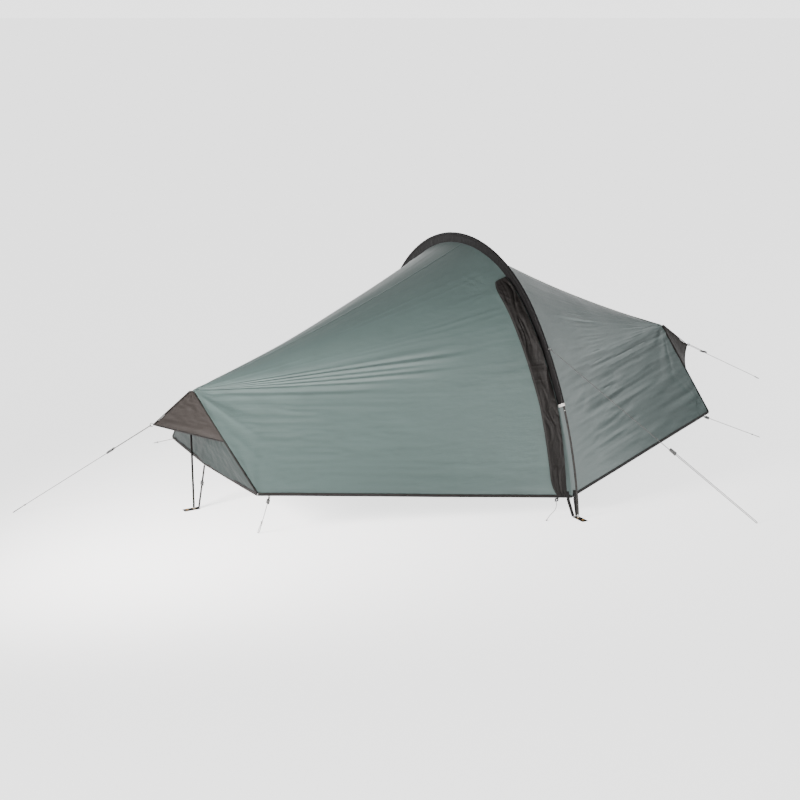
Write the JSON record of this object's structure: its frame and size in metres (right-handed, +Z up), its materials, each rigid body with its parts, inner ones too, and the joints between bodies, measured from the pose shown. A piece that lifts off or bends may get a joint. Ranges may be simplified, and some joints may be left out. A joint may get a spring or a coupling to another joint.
{
  "type": "tent",
  "caption": "Low hooped backpacking tent pitched on guylines: a bent pole crosses it, a short strut lifts each end, a side door folds back, and a sleeping compartment hangs inside.",
  "frame": {"origin": "on the ground at the middle of the tent's length and width, guylines left out", "axes": "+Z up; +X along the ridge to the right end as seen from the door; the door side faces -Y"},
  "size_m": [4.2372, 2.2714, 1.0498],
  "materials": {
    "fly_cloth": "silicone-coated ripstop nylon, teal-grey, satin",
    "hood_cloth": "coated nylon, warm dark grey",
    "sleeve_cloth": "plain black-brown nylon",
    "flap_cloth": "crinkled dark brown nylon",
    "edge_tape": "grosgrain binding",
    "pale_tape": "pale grosgrain tape",
    "webbing": "black polyester webbing",
    "hoop_tube": "anodised bronze-brown tube",
    "strut_tube": "anodised dark tube",
    "bare_aluminium": "turned",
    "elastic": "braided elastic cord",
    "brass": "rolled eyelets",
    "black_plastic": "moulded acetal",
    "guy_cord": "braided pale grey cord",
    "ring_metal": "small welded rings",
    "zip_tape": "woven zip tape with a nylon coil",
    "zip_metal": "die-cast zip slider",
    "zip_pull": "folded tape pull",
    "vent_mesh": "fine netting",
    "tray_cloth": "coated nylon tray",
    "inner_cloth": "light breathable nylon",
    "inner_mesh": "fine netting"
  },
  "bodies": {
    "tent": {"fly_panel_left_front": "fly_cloth", "fly_panel_left_back": "fly_cloth", "fly_panel_right_front": "fly_cloth", "fly_panel_right_back": "fly_cloth", "left_end_panel": "fly_cloth", "right_end_panel": "fly_cloth", "left_hood": "hood_cloth", "right_hood": "hood_cloth", "pole_sleeve": "sleeve_cloth", "hem_binding": "edge_tape", "sleeve_end_bands": "pale_tape", "foot_webbing_front": "webbing", "foot_webbing_back": "webbing", "left_strut_webbing": "webbing", "right_strut_webbing": "webbing", "hoop_pole_sections": "hoop_tube", "left_strut": "strut_tube", "right_strut": "strut_tube", "hoop_pole_ferrules": "bare_aluminium", "hoop_pole_tips": "bare_aluminium", "strut_caps": "bare_aluminium", "hoop_shock_cord": "elastic", "inner_hangers": "elastic", "peg_eyelets": "brass", "corner_tensioners": "black_plastic", "door_toggles": "black_plastic", "guy_line_left": "guy_cord", "guy_line_right": "guy_cord", "guy_line_front": "guy_cord", "corner_cord_left_front": "guy_cord", "corner_cord_left_back": "guy_cord", "corner_cord_right_front": "guy_cord", "guy_rings": "ring_metal", "fly_zip_tape_fixed": "zip_tape", "left_vent_mesh": "vent_mesh", "right_vent_mesh": "vent_mesh", "inner_tray": "tray_cloth", "inner_front_wall": "inner_cloth", "inner_back_wall": "inner_cloth", "inner_end_walls": "inner_cloth", "inner_roof": "inner_mesh"},
    "door": {"fly_door_panel": "fly_cloth", "storm_flap": "flap_cloth", "fly_zip_tape_door": "zip_tape", "door_hem_binding": "edge_tape", "door_hook": "black_plastic", "door_cord": "elastic"},
    "fly_zip_slider_body": {"fly_zip_slider": "zip_metal"},
    "fly_zip_pull_body": {"fly_zip_pull": "zip_pull"},
    "inner_door_body": {"inner_door": "inner_cloth"},
    "inner_zip_slider_body": {"inner_zip_slider": "zip_metal"},
    "inner_zip_pull_body": {"inner_zip_pull": "zip_pull"},
    "guy_slider_left_body": {"guy_slider_left": "black_plastic"},
    "guy_slider_right_body": {"guy_slider_right": "black_plastic"},
    "guy_slider_front_body": {"guy_slider_front": "black_plastic"},
    "strap_buckle_left_body": {"left_strap_buckle": "black_plastic"},
    "strap_buckle_right_body": {"right_strap_buckle": "black_plastic"}
  },
  "joints": [
    {"name": "door_fold", "type": "hinge", "parent": "tent", "child": "door", "pos_m": [-0.7417, -0.58157, 0.14998], "axis": [-0.7041, -0.2189, -0.6756], "range_deg": [0, 100]},
    {"name": "fly_zip_run", "type": "hinge", "parent": "tent", "child": "fly_zip_slider_body", "pos_m": [0.0335, 0.53827, -0.14799], "axis": [-1, 0, 0], "range_deg": [0, 29.5]},
    {"name": "fly_zip_pull_swing", "type": "hinge", "parent": "fly_zip_slider_body", "child": "fly_zip_pull_body", "pos_m": [0.0335, -0.80089, 0.10146], "axis": [1, 0, 0], "range_deg": [-8, 150]},
    {"name": "inner_door_swing", "type": "hinge", "parent": "tent", "child": "inner_door_body", "pos_m": [-0.4, -0.2624, 0.15], "axis": [0, 0.1867, 0.9824], "range_deg": [0, 90]},
    {"name": "inner_zip_run", "type": "slide", "parent": "tent", "child": "inner_zip_slider_body", "axis": [0, 0.1867, 0.9824], "range_m": [0, 0.35]},
    {"name": "inner_zip_pull_swing", "type": "hinge", "parent": "inner_zip_slider_body", "child": "inner_zip_pull_body", "pos_m": [0.025, -0.26565, 0.1672], "axis": [-1, 0, 0], "range_deg": [0, 150]},
    {"name": "guy_slider_left_slide", "type": "slide", "parent": "tent", "child": "guy_slider_left_body", "axis": [0.6836, -0.4858, 0.5447], "range_m": [0, 0.08]},
    {"name": "guy_slider_right_slide", "type": "slide", "parent": "tent", "child": "guy_slider_right_body", "axis": [-0.8545, -0.3734, 0.361], "range_m": [0, 0.08]},
    {"name": "guy_slider_front_slide", "type": "slide", "parent": "tent", "child": "guy_slider_front_body", "axis": [0.5321, -0.5912, -0.6061], "range_m": [0, 0.08]},
    {"name": "strap_buckle_left_slide", "type": "slide", "parent": "tent", "child": "strap_buckle_left_body", "axis": [-0.1759, 0, -0.9844], "range_m": [-0.03, 0.03]},
    {"name": "strap_buckle_right_slide", "type": "slide", "parent": "tent", "child": "strap_buckle_right_body", "axis": [0.1759, 0, -0.9844], "range_m": [-0.03, 0.03]}
  ]
}
